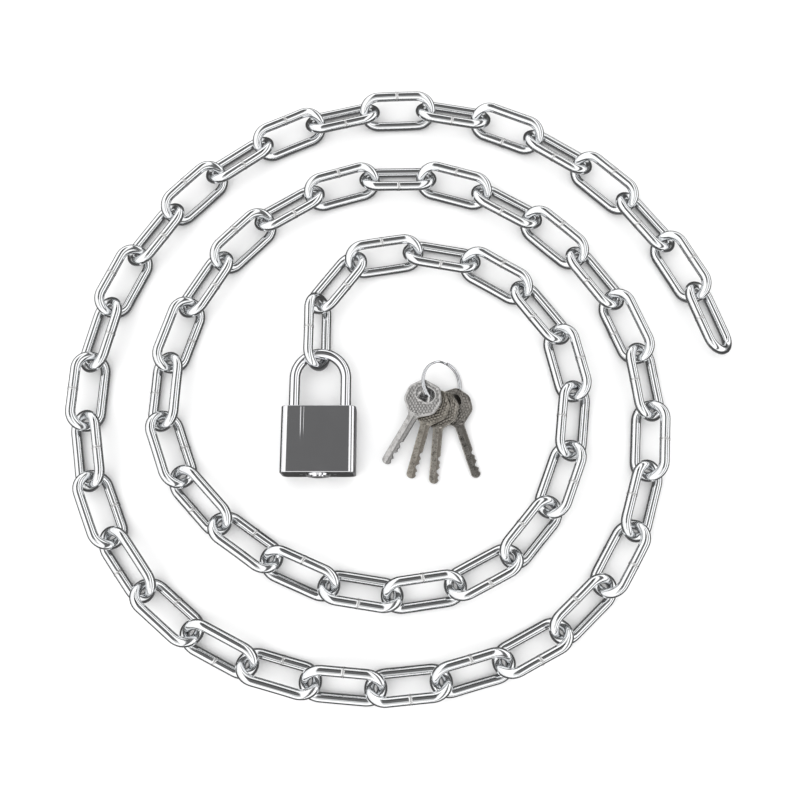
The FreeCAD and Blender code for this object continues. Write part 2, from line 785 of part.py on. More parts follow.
def key_placement(bearing, aside, turn, dip, roll):
    """Where a key hangs: its hole's middle lies aside of the ring's wire at the bearing."""
    ring = ring_placement()
    angle = math.radians(bearing)
    reach = size("ring_radius")
    crossing = ring.multVec(Vector(reach * math.cos(angle), reach * math.sin(angle), 0))
    lie = Rotation(Vector(0, 0, 1), -90 + turn)
    lie = lie.multiply(Rotation(Vector(0, 1, 0), dip))
    lie = lie.multiply(Rotation(Vector(1, 0, 0), roll))
    return Placement(crossing - lie.multVec(Vector(0, aside, 0)), lie)


def keys(master):
    nodes = []
    for name, *lie in KEYS:
        key = doc.addObject("Part::Feature", name)
        key.Shape = master.Shape.copy()
        key.Placement = key_placement(*lie)
        nodes.append(key)
    return nodes


# ---------------------------------------------------------------- build and save


def build():
    nodes = [
        lock_case(), core_block(), bottom_plate(), keyway_collar(), plate_rivets(),
        shackle(), shackle_keeper(), shackle_spring(), latch(), latch_spring(),
        plug(), cam(), key_pins(), driver_pins(), pin_springs(), pin_caps(), key_ring(),
    ]
    link = link_master()
    key = key_master()
    doc.recompute()
    nodes += chain(link) + keys(key)
    doc.recompute()
    return nodes


def check(nodes):
    for item in doc.Objects:
        if "Invalid" in item.State or "Error" in item.State:
            raise RuntimeError(f"{item.Label} failed: {item.State}")
    for node in nodes:
        if node.Shape.isNull() or not node.Shape.isValid():
            raise RuntimeError(f"{node.Label} has no valid shape")
        if not node.Shape.Solids:
            raise RuntimeError(f"{node.Label} has no solid")


def save(nodes):
    os.makedirs("parts", exist_ok=True)
    for node in nodes:
        node.Shape.exportStep(f"parts/{node.Label}.step")


NODES = build()
check(NODES)
save(NODES)
print(len(NODES), "nodes")
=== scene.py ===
import json
import math

import bmesh
import bpy
import numpy as np
from mathutils import Matrix, Vector
from mathutils.geometry import delaunay_2d_cdt


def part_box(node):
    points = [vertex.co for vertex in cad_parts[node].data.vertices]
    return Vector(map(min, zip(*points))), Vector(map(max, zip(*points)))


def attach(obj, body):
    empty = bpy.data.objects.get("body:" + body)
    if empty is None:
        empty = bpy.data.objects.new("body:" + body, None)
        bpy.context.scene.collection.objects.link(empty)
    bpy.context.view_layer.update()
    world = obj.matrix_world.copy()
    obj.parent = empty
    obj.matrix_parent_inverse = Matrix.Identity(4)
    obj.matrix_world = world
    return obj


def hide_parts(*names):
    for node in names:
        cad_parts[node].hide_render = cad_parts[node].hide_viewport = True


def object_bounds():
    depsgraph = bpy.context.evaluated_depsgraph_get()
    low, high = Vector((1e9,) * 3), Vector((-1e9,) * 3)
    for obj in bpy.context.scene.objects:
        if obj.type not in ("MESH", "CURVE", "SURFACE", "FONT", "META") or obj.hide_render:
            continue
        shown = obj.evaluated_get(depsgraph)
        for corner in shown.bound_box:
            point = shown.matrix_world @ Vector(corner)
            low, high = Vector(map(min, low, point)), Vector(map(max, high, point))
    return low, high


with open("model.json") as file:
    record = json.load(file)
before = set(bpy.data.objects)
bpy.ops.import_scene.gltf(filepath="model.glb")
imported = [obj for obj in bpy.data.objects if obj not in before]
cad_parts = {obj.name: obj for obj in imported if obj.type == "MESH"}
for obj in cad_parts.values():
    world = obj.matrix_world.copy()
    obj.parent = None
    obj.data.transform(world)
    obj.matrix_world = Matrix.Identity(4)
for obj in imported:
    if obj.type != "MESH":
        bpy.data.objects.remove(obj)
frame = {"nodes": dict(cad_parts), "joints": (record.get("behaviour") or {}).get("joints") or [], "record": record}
cad_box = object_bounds()

MM = 0.001
JOINTS = {joint["name"]: joint for joint in frame["joints"]}
LINK_NODES = sorted(name for name in frame["nodes"] if name.startswith("link_"))


# ------------------------------------------------------------------ mesh helpers


def mesh_object(name, verts, faces, material, smooth=True):
    """A new mesh object in row coordinates."""
    mesh = bpy.data.meshes.new(name)
    mesh.from_pydata([tuple(v) for v in verts], [], faces)
    mesh.validate()
    obj = bpy.data.objects.new(name, mesh)
    bpy.context.scene.collection.objects.link(obj)
    mesh.materials.append(material)
    mesh.polygons.foreach_set("use_smooth", [smooth] * len(mesh.polygons))
    return obj


def point_values(obj, name, values):
    """A number for every vertex, which the materials read by its name."""
    layer = obj.data.attributes.new(name, "FLOAT", "POINT")
    layer.data.foreach_set("value", np.asarray(values, np.float32))


def tube(path, sideways, radii, sides, closed):
    """Rings of points round a path, and the quads between them.

    path and sideways are (n, 3); radii is (n, sides), so a tube may have lumps.
    """
    count = len(path)
    if closed:
        tangents = np.roll(path, -1, 0) - np.roll(path, 1, 0)
    else:
        tangents = np.gradient(path, axis=0)
    tangents /= np.linalg.norm(tangents, axis=1, keepdims=True)
    upward = np.cross(tangents, sideways)
    upward /= np.linalg.norm(upward, axis=1, keepdims=True)
    across = np.cross(upward, tangents)
    angles = np.arange(sides) * 2 * math.pi / sides
    rings = (path[:, None, :]
             + radii[:, :, None] * (np.cos(angles)[None, :, None] * across[:, None, :]
                                    + np.sin(angles)[None, :, None] * upward[:, None, :]))
    faces = []
    for i in range(count if closed else count - 1):
        j = (i + 1) % count
        for k in range(sides):
            m = (k + 1) % sides
            faces.append((i * sides + k, i * sides + m, j * sides + m, j * sides + k))
    if not closed:
        faces.append(tuple(range(sides)))
        faces.append(tuple(reversed(range((count - 1) * sides, count * sides))))
    return rings.reshape(-1, 3), faces


def loose_parts(obj):
    """Vertex positions of each connected part of a CAD node's mesh."""
    bm = bmesh.new()
    bm.from_mesh(obj.data)
    bmesh.ops.remove_doubles(bm, verts=bm.verts, dist=1e-6)
    bm.verts.ensure_lookup_table()
    seen = set()
    parts = []
    for vert in bm.verts:
        if vert.index in seen:
            continue
        seen.add(vert.index)
        stack = [vert]
        part = []
        while stack:
            here = stack.pop()
            part.append(tuple(here.co))
            for edge in here.link_edges:
                other = edge.other_vert(here)
                if other.index not in seen:
                    seen.add(other.index)
                    stack.append(other)
        parts.append(np.array(part))
    bm.free()
    return parts


# --------------------------------------------------------------------- materials


class Nodes:
    """A short way to write a material's node tree."""

    def __init__(self, name):
        self.material = bpy.data.materials.new(name)
        self.material.use_nodes = True
        self.tree = self.material.node_tree
        self.shader = self.tree.nodes["Principled BSDF"]

    def add(self, kind, inputs=None, **settings):
        node = self.tree.nodes.new("ShaderNode" + kind)
        for key, value in settings.items():
            setattr(node, key, value)
        for key, value in (inputs or {}).items():
            self.put(node.inputs[key], value)
        return node

    def put(self, socket, value):
        if isinstance(value, bpy.types.NodeSocket):
            self.tree.links.new(value, socket)
        else:
            socket.default_value = value

    def set(self, **values):
        for key, value in values.items():
            self.put(self.shader.inputs[key.replace("_", " ")], value)

    def where(self, scale=(1, 1, 1), layer=None):
        """Object coordinates, or the UV layer, stretched by scale."""
        if layer:
            source = self.add("UVMap", uv_map=layer).outputs["UV"]
        else:
            source = self.add("TexCoord").outputs["Object"]
        return self.add("Mapping", {"Vector": source, "Scale": scale}).outputs["Vector"]

    def noise(self, scale, detail=3.0, rough=0.55, vector=None):
        inputs = {"Scale": scale, "Detail": detail, "Roughness": rough}
        inputs["Vector"] = vector or self.where()
        return self.add("TexNoise", inputs).outputs["Fac"]

    def ramp(self, fac, *stops):
        """Stops are (position, colour), a colour being three numbers or one."""
        node = self.add("ValToRGB", {"Fac": fac})
        elements = node.color_ramp.elements
        while len(elements) < len(stops):
            elements.new(0.5)
        for element, (position, colour) in zip(elements, stops):
            element.position = position
            if not isinstance(colour, tuple):
                colour = (colour, colour, colour)
            element.color = (*colour, 1)
        return node.outputs["Color"]

    def math(self, operation, a, b):
        return self.add("Math", {0: a, 1: b}, operation=operation).outputs[0]

    def mix(self, fac, a, b):
        node = self.add("Mix", data_type="RGBA")
        self.put(node.inputs[0], fac)
        self.put(node.inputs[6], a)
        self.put(node.inputs[7], b)
        return node.outputs[2]

    def attribute(self, name):
        return self.add("Attribute", attribute_name=name).outputs["Fac"]

    def bump(self, height, strength, distance):
        self.put(self.shader.inputs["Normal"],
                 self.add("Bump", {"Height": height, "Strength": strength,
                                   "Distance": distance}).outputs["Normal"])


def wire_steel(name, colour, dull):
    """Plated steel wire: fine draw lines along it, small pits, dulled at the weld."""
    n = Nodes(name)
    streaks = n.noise(1.0, 4.0, 0.6, n.where((40, 900, 1), "along"))
    pits = n.noise(2600.0, 2.0)
    clouds = n.noise(160.0, 3.0)
    weld = n.attribute("weld")
    tone = n.mix(clouds, (*[c * 0.93 for c in colour], 1), (*colour, 1))
    n.set(Base_Color=n.mix(n.math("MULTIPLY", weld, 0.6), tone, (0.60, 0.59, 0.58, 1)), Metallic=1.0)
    n.set(Roughness=n.math("ADD", n.ramp(n.mix(0.5, streaks, clouds), (0.3, dull * 0.5), (0.75, dull)),
                           n.math("MULTIPLY", weld, 0.18)))
    n.bump(n.mix(0.6, streaks, pits), 0.10, 0.00012)
    return n.material


def chrome(name, colour, smooth, rough, strength=0.05):
    """Polished plate with faint brushing along one way, and soft smears."""
    n = Nodes(name)
    brush = n.noise(1.0, 4.0, 0.6, n.where((300, 20, 300)))
    smears = n.noise(90.0, 4.0, 0.65)
    n.set(Base_Color=n.mix(smears, (*[c * 0.94 for c in colour], 1), (*colour, 1)), Metallic=1.0)
    n.set(Roughness=n.ramp(n.mix(0.6, brush, smears), (0.3, smooth), (0.75, rough)))
    n.bump(brush, strength, 0.00008)
    return n.material


def cast_metal(name, colour, rough):
    """Matt metal of the inner parts, with a sandy skin."""
    n = Nodes(name)
    sand = n.noise(1800.0, 3.0)
    clouds = n.noise(140.0, 3.0)
    n.set(Base_Color=n.mix(clouds, (*[c * 0.8 for c in colour], 1), (*colour, 1)), Metallic=1.0)
    n.set(Roughness=n.ramp(sand, (0.25, rough * 0.8), (0.8, rough)))
    n.bump(sand, 0.25, 0.0001)
    return n.material


def key_metal(name, colour, grime):
    """Worn nickel: grime stays in the hollows, and the high rims shine."""
    n = Nodes(name)
    hollow = n.attribute("hollow")
    specks = n.noise(1500.0, 3.0)
    clouds = n.noise(420.0, 5.0, 0.7)
    dirt = n.math("MULTIPLY", hollow, n.ramp(n.mix(0.5, specks, clouds), (0.25, 0.35), (0.7, 1.0)))
    stains = n.ramp(clouds, (0.36, 0.62), (0.47, 0.2), (0.56, 0.0))
    tone = n.mix(clouds, (*[c * 0.7 for c in colour], 1), (*colour, 1))
    n.set(Base_Color=n.mix(n.math("MAXIMUM", dirt, stains), tone, (*grime, 1)), Metallic=1.0)
    n.set(Roughness=n.math("ADD", n.ramp(specks, (0.3, 0.22), (0.75, 0.42)),
                           n.math("MULTIPLY", dirt, 0.25)))
    n.bump(n.mix(0.5, specks, clouds), 0.5, 0.0002)
    return n.material


def lacquer(name, colour, rough):
    """Black paint baked on sheet steel, a little uneven in its gloss."""
    n = Nodes(name)
    clouds = n.noise(300.0, 3.0)
    n.set(Base_Color=n.mix(clouds, (*[c * 0.7 for c in colour], 1), (*colour, 1)), Metallic=0.0)
    n.set(Roughness=n.ramp(clouds, (0.3, rough), (0.75, rough + 0.12)))
    return n.material


CHAIN = wire_steel("chain_plate", (0.80, 0.81, 0.82), 0.14)
RING = wire_steel("ring_plate", (0.76, 0.77, 0.79), 0.14)
CASE = chrome("case_plate", (0.80, 0.80, 0.82), 0.07, 0.15)
BAR = chrome("shackle_plate", (0.86, 0.86, 0.88), 0.03, 0.08, strength=0.03)
ZINC = cast_metal("zinc_skin", (0.48, 0.49, 0.50), 0.55)
BRASS = cast_metal("brass_skin", (0.70, 0.54, 0.25), 0.35)
INNER = cast_metal("inner_skin", (0.55, 0.55, 0.57), 0.4)
FOOT = lacquer("foot_paint", (0.02, 0.02, 0.021), 0.3)

SLOT_LOOKS = {
    "case_chrome": CASE, "foot_black": FOOT, "shackle_chrome": BAR, "cast_zinc": ZINC, "plug_brass": BRASS,
    "inner_steel": INNER, "chain_steel": CHAIN, "key_nickel": INNER, "ring_steel": RING,
}
for part in frame["record"]["subparts"]:
    node = frame["nodes"][part["node"]]
    node.data.materials.clear()
    node.data.materials.append(SLOT_LOOKS[part["material_slot"]])
# only the plug's plated nose shows at the keyway
frame["nodes"]["plug"].data.materials[0] = BAR


# ------------------------------------------------------------------------- chain

LINK_SIDES = 28
WELD_HALF = 0.55 * MM
WELD_PROUD = 0.17 * MM
NOTCH_HALF = 0.10 * MM
NOTCH_DEEP = 0.34 * MM
BAR_STEPS = 10
BEND_STEPS = 20
# the wire's length round, which the UVs are laid out by
WIRE_ROUND = 16.6 * MM
# places of the wire's sections near the weld, either side of it, in millimetres
WELD_STATIONS = (-1.6, -1.1, -0.8, -0.55, -0.38, -0.24, -0.13, -0.06, 0.0,
                 0.06, 0.13, 0.24, 0.38, 0.55, 0.8, 1.1, 1.6)


def link_place(points):
    """A CAD link's middle, its three directions, and its length, width and wire."""
    middle = (points.min(0) + points.max(0)) / 2
    from_middle = points - middle
    _, _, axes = np.linalg.svd(from_middle - from_middle.mean(0), full_matrices=False)
    along = axes[0] * np.array([1, 1, 0])
    along /= np.linalg.norm(along)
    flat = from_middle - np.outer(from_middle @ along, along)
    _, _, axes = np.linalg.svd(flat - flat.mean(0), full_matrices=False)
    width = axes[0] if axes[0][2] > 0 else -axes[0]
    normal = np.cross(along, width)
    reach = from_middle @ width
    length = np.ptp(from_middle @ along)
    # the wire is measured at the bends, clear of the weld's collar
    bends = np.abs(from_middle @ along) > 0.3 * length
    # the collar is on one side only, so the width is twice the other side
    sizes = length, 2 * min(reach.max(), -reach.min()), np.ptp(from_middle[bends] @ normal)
    return middle, np.column_stack([along, width, normal]), sizes


def link_mesh(length, width, wire, weld_side, rng):
    """Verts, faces, UVs and weld amounts of one link along X, width along Y."""
    radius = wire / 2
    bend = (width - wire) / 2
    half = length / 2 - radius - bend
    stations = []
    far = np.linspace(half, -half, BAR_STEPS + 1)[:-1]
    shift = rng.uniform(-0.8, 0.8) * MM
    near = [-half]
    near += [shift + s * MM for s in WELD_STATIONS]
    near = sorted(set(near + list(np.linspace(-half, half, 5)[1:-1])))
    for angle in np.linspace(-math.pi / 2, math.pi / 2, BEND_STEPS + 1)[:-1]:
        stations.append((half + bend * math.cos(angle), bend * math.sin(angle)))
    for x in far:
        stations.append((x, bend))
    for angle in np.linspace(math.pi / 2, 3 * math.pi / 2, BEND_STEPS + 1)[:-1]:
        stations.append((-half + bend * math.cos(angle), bend * math.sin(angle)))
    for x in near:
        stations.append((x, -bend))
    path = np.array([(x, y, 0.0) for x, y in stations])
    # a real link's bars bow out a little and its wire is never quite even
    bow = rng.uniform(-0.12, 0.10) * MM
    on_bar = np.clip(1 - (path[:, 0] / half) ** 2, 0, 1)
    path[:, 1] += np.sign(path[:, 1]) * bow * on_bar
    is_near = np.isclose(path[:, 1], -bend - bow * on_bar, atol=1e-9) & (np.abs(path[:, 0]) <= half)
    offset = np.where(is_near, np.abs(path[:, 0] - shift), 1.0)
    angles = np.arange(LINK_SIDES) * 2 * math.pi / LINK_SIDES
    burr_at = rng.uniform(0, 2 * math.pi)
    burr = np.clip(1 + 0.6 * np.cos(angles - burr_at) ** 3, 0.25, 1.2)
    collar = WELD_PROUD * np.exp(-(offset / WELD_HALF) ** 4)
    notch = NOTCH_DEEP * np.exp(-(offset / NOTCH_HALF) ** 2)
    radii = radius + collar[:, None] * burr[None, :] - notch[:, None]
    sideways = np.zeros_like(path)
    sideways[:, 2] = 1.0
    verts, faces = tube(path, sideways, radii, LINK_SIDES, True)
    verts = verts * np.array([-weld_side, -weld_side, 1.0])
    weld = np.repeat(np.exp(-(offset / (1.3 * MM)) ** 2), LINK_SIDES)
    steps = np.linalg.norm(np.roll(path, -1, 0) - path, axis=1)
    run = np.concatenate([[0], np.cumsum(steps)])
    return verts, faces, weld, run


def wrap_uv(obj, first_face, rings, sides, run, closed=True):
    """UVs in metres: along the wire, and round it."""
    layer = obj.data.uv_layers.get("along") or obj.data.uv_layers.new(name="along")
    data = layer.data
    last = rings if closed else rings - 1
    for i in range(last):
        for k in range(sides):
            face = obj.data.polygons[first_face + i * sides + k]
            corners = ((run[i], k), (run[i], k + 1), (run[i + 1], k + 1), (run[i + 1], k))
            for loop, (u, v) in zip(face.loop_indices, corners):
                data[loop].uv = (u, v / sides * WIRE_ROUND)


# links whose weld shows on the bar nearer the spiral's middle
WELD_INSIDE = set(range(1, 60, 2)) - {19, 21, 43, 45} | {6, 18, 20, 22, 32, 42, 44, 46}


def build_chain():
    """A finer copy of every link on the CAD link's own place."""
    spiral = np.array((Vector(cad_box[0]) + Vector(cad_box[1])) / 2)
    for node in LINK_NODES:
        numbers = sorted((int(word) for word in node.split("_")[1:]), reverse=True)
        start = np.array(JOINTS[node + "_swing"]["pos_m"])
        parts = loose_parts(frame["nodes"][node])
        parts.sort(key=lambda p: np.linalg.norm((p.min(0) + p.max(0)) / 2 - start))
        verts, faces, welds, runs = [], [], [], []
        for number, points in zip(numbers, parts):
            middle, turn, sizes = link_place(points)
            outward = (turn[:, 1] @ ((middle - spiral) * np.array([1, 1, 0]))) > 0
            side = 1 if outward != (number in WELD_INSIDE) else -1
            local, quads, weld, run = link_mesh(*sizes, side, np.random.default_rng(number))
            base = sum(len(v) for v in verts)
            verts.append(np.clip(local @ turn.T + middle, *cad_box))
            faces += [tuple(base + i for i in quad) for quad in quads]
            welds.append(weld)
            runs.append(run)
        piece = mesh_object(node + "_wire", np.vstack(verts), faces, CHAIN)
        point_values(piece, "weld", np.concatenate(welds))
        first = 0
        for run in runs:
            wrap_uv(piece, first, len(run) - 1, LINK_SIDES, run)
            first += (len(run) - 1) * LINK_SIDES
        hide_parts(node)
        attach(piece, node + "_body")


build_chain()


# ---------------------------------------------------------------------- key ring

RING_SIDES = 20
RING_GAP = math.radians(15)
RING_TURN_STEPS = 90
# the wire's ends are filed to this part of its radius
RING_END = 0.72


def build_ring():
    """Two turns of wire with a short step between them, on the CAD ring's place."""
    joint = JOINTS["key_4_round_ring"]
    centre = np.array(joint["pos_m"])
    axis = np.array(joint["axis"])
    if axis[2] < 0:
        axis = -axis
    points = np.vstack(loose_parts(frame["nodes"]["key_ring"]))
    from_centre = points - centre
    rise = from_centre @ axis
    reach = np.linalg.norm(from_centre - np.outer(rise, axis), axis=1)
    wire = reach.max() - reach.min()
    radius = (reach.max() + reach.min()) / 2
    step = (np.ptp(rise) - wire) / 2
    ahead = np.array([0.0, 1.0, 0.0])
    right = np.cross(ahead, axis)
    start = math.pi / 2 + RING_GAP
    sweep = 4 * math.pi - 2 * RING_GAP
    turns = np.linspace(0, sweep, 2 * RING_TURN_STEPS)
    first_turn = 2 * math.pi - 2 * RING_GAP
    blend = np.clip((turns - first_turn) / (2 * RING_GAP), 0, 1)
    blend = blend * blend * (3 - 2 * blend)
    lift = -step + 2 * step * blend
    angles = start + turns
    path = (centre + radius * (np.cos(angles)[:, None] * right + np.sin(angles)[:, None] * ahead)
            + lift[:, None] * axis)
    sideways = np.tile(axis, (len(path), 1))
    radii = np.full((len(path), RING_SIDES), wire / 2)
    radii[0] *= RING_END
    radii[-1] *= RING_END
    verts, faces = tube(path, sideways, radii, RING_SIDES, False)
    ring = mesh_object("split_ring", verts, faces, RING)
    point_values(ring, "weld", np.zeros(len(verts)))
    run = np.concatenate([[0], np.cumsum(np.linalg.norm(np.diff(path, axis=0), axis=1))])
    wrap_uv(ring, 0, len(path), RING_SIDES, run, closed=False)
    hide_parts("key_ring")
    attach(ring, "key_ring_body")


build_ring()


# -------------------------------------------------------------------------- keys

KEY_BOW_LONG = 20.0
KEY_BOW_HALF = 10.5
KEY_LONG = 50.4
KEY_BLADE_HALF = 2.6
KEY_HALF_THICK = 0.85
# corners of one side of the bow, as its distance from the end and from the middle, and each
# corner's rounding
KEY_CORNERS = ((0.0, 5.46, 4.0), (6.8, 10.5, 5.0), (14.4, 9.87, 5.0), (20.4, 2.6, 2.5))
KEY_HOLE_MIDDLE = 6.9
KEY_HOLE_RADIUS = 3.7
KEY_HOLE_SPREAD = 1.6
KEY_CUTS = ((47.0, 0.7), (43.6, 1.5), (40.2, 0.5), (36.8, 1.2))
KEY_CUT_FLAT = 0.5
KEY_GROOVE = (0.65, 1.95)
KEY_GROOVE_DEEP = 0.45
KEY_RIM = 1.15
KEY_HOLE_RIM = 1.0
KEY_FIELD_DEEP = 0.30
KEY_EDGE_ROUND = 0.3
PEBBLE_STEP = 1.7
PEBBLE_RADIUS = 0.82
PEBBLE_HIGH = 0.28
PEBBLE_STRAY = 0.16
KEY_GRID = 0.24
# the stretch at the tip end that holds only blade
KEY_BLADE_ONLY = 25.0
KEY_LOOKS = {
    "key_1": ((0.56, 0.55, 0.54), (0.12, 0.115, 0.11)),
    "key_2": ((0.44, 0.41, 0.36), (0.07, 0.06, 0.05)),
    "key_3": ((0.50, 0.47, 0.42), (0.08, 0.07, 0.06)),
    "key_4": ((0.40, 0.38, 0.35), (0.06, 0.055, 0.05)),
}


def round_corner(before, corner, after, radius, steps=7):
    """Points of the arc that rounds a corner off."""
    corner = Vector(corner)
    one = (Vector(before) - corner).normalized()
    two = (Vector(after) - corner).normalized()
    half = one.angle(two) / 2
    reach = radius / math.tan(half)
    centre = corner + (one + two).normalized() * (radius / math.sin(half))
    start = corner + one * reach - centre
    end = corner + two * reach - centre
    sweep = start.angle_signed(end)
    return [centre + Matrix.Rotation(-sweep * i / steps, 2) @ start for i in range(steps + 1)]


def key_half(x):
    """Half width of the blade before its cuts."""
    tip = KEY_LONG - KEY_BLADE_HALF
    return KEY_BLADE_HALF if x < tip else math.sqrt(max(KEY_BLADE_HALF ** 2 - (x - tip) ** 2, 0))


def key_cut(x):
    """Height of the cut edge above the blade's middle line."""
    edge = KEY_BLADE_HALF
    for place, depth in KEY_CUTS:
        slope = max(abs(x - place) - KEY_CUT_FLAT, 0)
        edge = min(edge, KEY_BLADE_HALF - max(depth - slope, 0))
    return edge


def key_outline():
    """The key's outer edge, from the middle of its bow round by the cut side to the tip and back."""
    corners = [Vector((x, y)) for x, y, _ in KEY_CORNERS]
    side = [Vector((0, 0))] + corners + [Vector((KEY_LONG * 0.6, KEY_BLADE_HALF))]
    bow = []
    for i, (_, _, radius) in enumerate(KEY_CORNERS):
        bow += round_corner(side[i], side[i + 1], side[i + 2], radius)
    start = bow[-1].x
    blade = np.arange(start + 0.3, KEY_LONG, 0.16)
    top = bow + [Vector((x, min(key_half(x), key_cut(x)))) for x in blade]
    foot = [Vector((x, -key_half(x))) for x in reversed(blade)]
    foot += [Vector((p.x, -p.y)) for p in reversed(bow)]
    return np.array([tuple(p) for p in top + [Vector((KEY_LONG, 0))] + foot])


def key_hole():
    """The hole's edge: two half circles, drawn apart across the bow."""
    turns = np.linspace(0, 2 * math.pi, 49)[:-1]
    spread = np.where(np.sin(turns) >= 0, KEY_HOLE_SPREAD, -KEY_HOLE_SPREAD)
    return np.column_stack([KEY_HOLE_MIDDLE + KEY_HOLE_RADIUS * np.cos(turns),
                            spread + KEY_HOLE_RADIUS * np.sin(turns)])


def edge_distance(points, loop):
    """Distance of each point from a closed line."""
    nearest = np.full(len(points), np.inf)
    for a, b in zip(loop, np.roll(loop, -1, 0)):
        run = b - a
        t = np.clip(((points - a) @ run) / max(run @ run, 1e-12), 0, 1)
        nearest = np.minimum(nearest, np.linalg.norm(points - a - t[:, None] * run, axis=1))
    return nearest


def inside(points, loop):
    """Whether each point lies within a closed line."""
    odd = np.zeros(len(points), bool)
    for a, b in zip(loop, np.roll(loop, -1, 0)):
        crosses = (a[1] > points[:, 1]) != (b[1] > points[:, 1])
        at = a[0] + (points[:, 1] - a[1]) * (b[0] - a[0]) / (b[1] - a[1] if b[1] != a[1] else 1)
        odd ^= crosses & (points[:, 0] < at)
    return odd


def flat_mesh(outer, holes, grid, clear):
    """A filled outline with holes: points, triangles, and the loops as lists of point numbers."""
    low, high = outer.min(0), outer.max(0)
    xs = np.arange(low[0] + grid / 2, high[0], grid)
    ys = np.arange(low[1] + grid / 2, high[1], grid * 0.87)
    cloud = np.array([(x + (grid / 2 if j % 2 else 0), y) for j, y in enumerate(ys) for x in xs])
    cloud = cloud[inside(cloud, outer)]
    cloud = cloud[edge_distance(cloud, outer) > clear]
    for hole in holes:
        cloud = cloud[~inside(cloud, hole)]
        cloud = cloud[edge_distance(cloud, hole) > clear]
    points, edges, loops = [], [], []
    for loop in (outer, *holes):
        first = len(points)
        points += [Vector(p) for p in loop]
        ring = list(range(first, len(points)))
        edges += list(zip(ring, ring[1:] + ring[:1]))
        loops.append(ring)
    points += [Vector(p) for p in cloud]
    out, _, faces, origin, _, _ = delaunay_2d_cdt(points, edges, [], 2, 1e-7)
    new = {}
    for i, sources in enumerate(origin):
        for source in sources:
            new[source] = i
    loops = [[new[i] for i in ring] for ring in loops]
    return np.array([tuple(p) for p in out]), faces, loops


def slab(points, faces, loops, top, foot):
    """A closed plate from a flat mesh and its two surfaces' heights."""
    count = len(points)
    verts = np.vstack([np.column_stack([points, top]), np.column_stack([points, foot])])
    solid = []
    for face in faces:
        a, b, c = (points[i] for i in face[:3])
        if (b[0] - a[0]) * (c[1] - a[1]) - (b[1] - a[1]) * (c[0] - a[0]) < 0:
            face = list(reversed(face))
        solid.append(tuple(face))
        solid.append(tuple(count + i for i in reversed(face)))
    for ring in loops:
        for a, b in zip(ring, ring[1:] + ring[:1]):
            solid.append((a, b, count + b, count + a))
    return verts, solid


def pebbles(points):
    """Height of the pebbled field, from nought to one."""
    rng = np.random.default_rng(7)
    centres = []
    rows = int(2 * KEY_BOW_HALF / PEBBLE_STEP) + 2
    for j in range(rows):
        for i in range(int(KEY_BOW_LONG / PEBBLE_STEP) + 2):
            centres.append(((i + 0.5 * (j % 2)) * PEBBLE_STEP, j * PEBBLE_STEP * 0.87 - KEY_BOW_HALF))
    centres = np.array(centres) + rng.uniform(-PEBBLE_STRAY, PEBBLE_STRAY, (len(centres), 2))
    height = np.zeros(len(points))
    for centre in centres:
        away = np.linalg.norm(points - centre, axis=1) / PEBBLE_RADIUS
        height = np.maximum(height, np.clip(1 - away ** 2, 0, 1))
    return height


def step_up(values, start, end):
    """A smooth rise from nought at start to one at end."""
    t = np.clip((values - start) / (end - start), 0, 1)
    return t * t * (3 - 2 * t)


def key_shape():
    """The key's mesh in millimetres: bow from X 0, tip at X KEY_LONG, cuts on +Y."""
    outer, hole = key_outline(), key_hole()
    points, faces, loops = flat_mesh(outer, [hole], KEY_GRID, KEY_GRID * 0.55)
    to_edge = edge_distance(points, outer)
    to_hole = edge_distance(points, hole)
    bow = 1 - step_up(points[:, 0], KEY_BOW_LONG - 2.2, KEY_BOW_LONG - 1.0)
    field = (step_up(to_edge, KEY_RIM, KEY_RIM + 0.3) * step_up(to_hole, KEY_HOLE_RIM, KEY_HOLE_RIM + 0.3)
             * bow)
    grain = pebbles(points)
    worn = KEY_EDGE_ROUND * 0.6 * np.clip(1 - np.minimum(to_edge, to_hole) / KEY_EDGE_ROUND, 0, 1) ** 2
    sunk = KEY_FIELD_DEEP * field - PEBBLE_HIGH * grain * field + worn
    along = step_up(points[:, 0], KEY_BOW_LONG - 0.4, KEY_BOW_LONG + 0.4)
    across = (step_up(points[:, 1], KEY_GROOVE[0] - 0.15, KEY_GROOVE[0] + 0.1)
              * (1 - step_up(points[:, 1], KEY_GROOVE[1] - 0.1, KEY_GROOVE[1] + 0.15)))
    groove = KEY_GROOVE_DEEP * along * across
    verts, solid = slab(points, faces, loops, KEY_HALF_THICK - sunk - groove, sunk - KEY_HALF_THICK)
    hollow = np.clip(field * (1 - grain) + 0.7 * along * across, 0, 1)
    return verts, solid, np.concatenate([hollow, field * (1 - grain)])


def strongest(normals, areas):
    """The direction that most of a mesh's area faces, either way."""
    best, most = None, 0
    for i in np.argsort(-areas)[:40]:
        total = areas[np.abs(normals @ normals[i]) > 0.9999].sum()
        if total > most:
            best, most = normals[i], total
    return best


